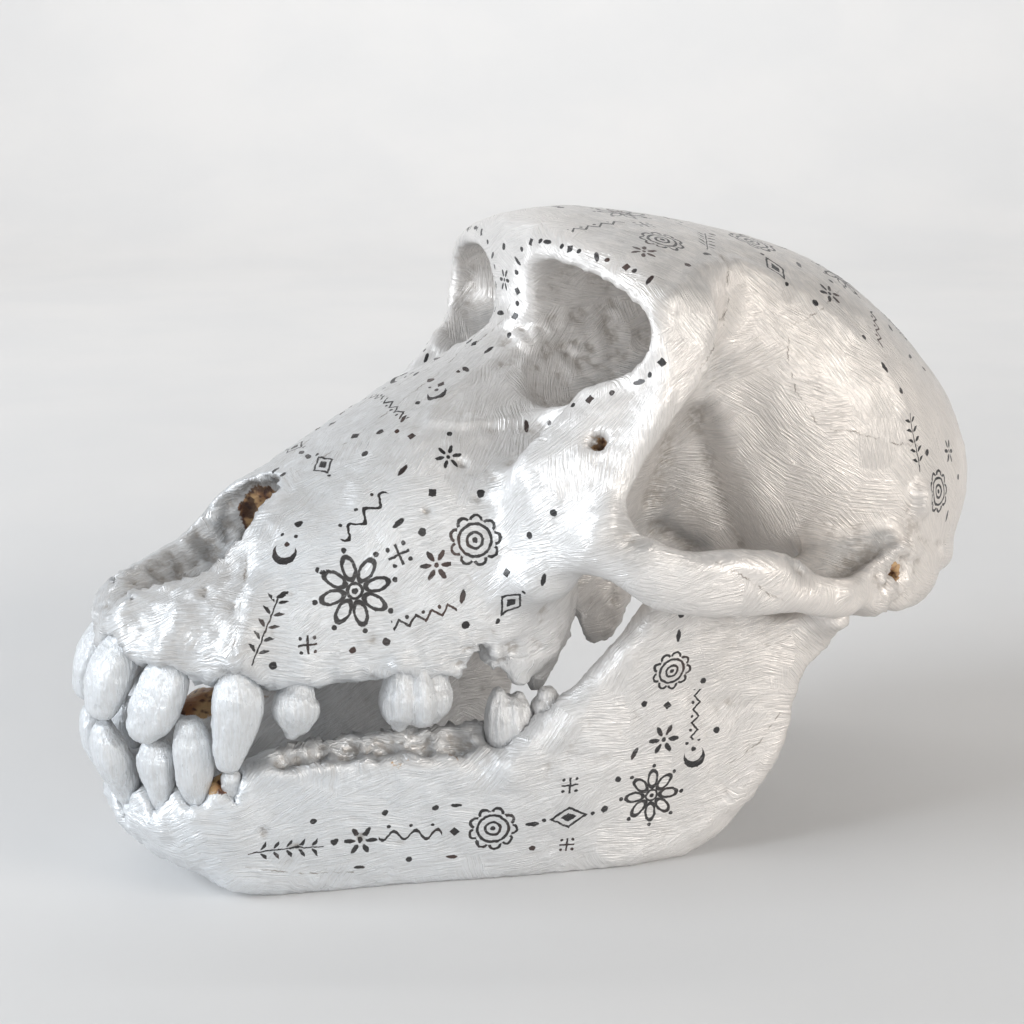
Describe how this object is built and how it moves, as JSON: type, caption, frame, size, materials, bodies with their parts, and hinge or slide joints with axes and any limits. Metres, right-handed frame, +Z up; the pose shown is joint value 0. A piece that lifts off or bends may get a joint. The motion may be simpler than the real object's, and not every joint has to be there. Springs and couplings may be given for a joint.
{
  "type": "baboon skull",
  "caption": "Dry baboon skull with its lower jaw and remaining teeth, painted pearl white and inked with small ornaments, standing on the edge of its jaw.",
  "frame": {"origin": "on the table, under the middle of the skull's bounding box", "axes": "+Z up, -Y towards the muzzle, +X towards the skull's left side"},
  "size_m": [0.0974, 0.16, 0.1046],
  "materials": {
    "skull_paint": "dry bone under satin pearl white brushed paint with black ink ornaments",
    "jaw_paint": "dry bone under satin pearl white brushed paint with black ink ornaments",
    "tooth_paint": "teeth under satin pearl white brushed paint"
  },
  "bodies": {
    "root": {"cranium": "skull_paint", "mandible": "jaw_paint", "upper_incisor_1_left": "tooth_paint", "upper_incisor_1_right": "tooth_paint", "upper_incisor_2_left": "tooth_paint", "upper_incisor_2_right": "tooth_paint", "upper_canine_left": "tooth_paint", "upper_canine_right": "tooth_paint", "upper_premolar_left": "tooth_paint", "upper_premolar_right": "tooth_paint", "upper_molar_left": "tooth_paint", "upper_molar_right": "tooth_paint", "lower_incisor_1_left": "tooth_paint", "lower_incisor_1_right": "tooth_paint", "lower_incisor_2_left": "tooth_paint", "lower_incisor_2_right": "tooth_paint", "lower_canine_left": "tooth_paint", "lower_canine_right": "tooth_paint", "lower_premolar_root_left": "tooth_paint", "lower_premolar_root_right": "tooth_paint", "lower_molar_left": "tooth_paint", "lower_molar_right": "tooth_paint", "lower_last_molar_left": "tooth_paint", "lower_last_molar_right": "tooth_paint"}
  },
  "joints": []
}
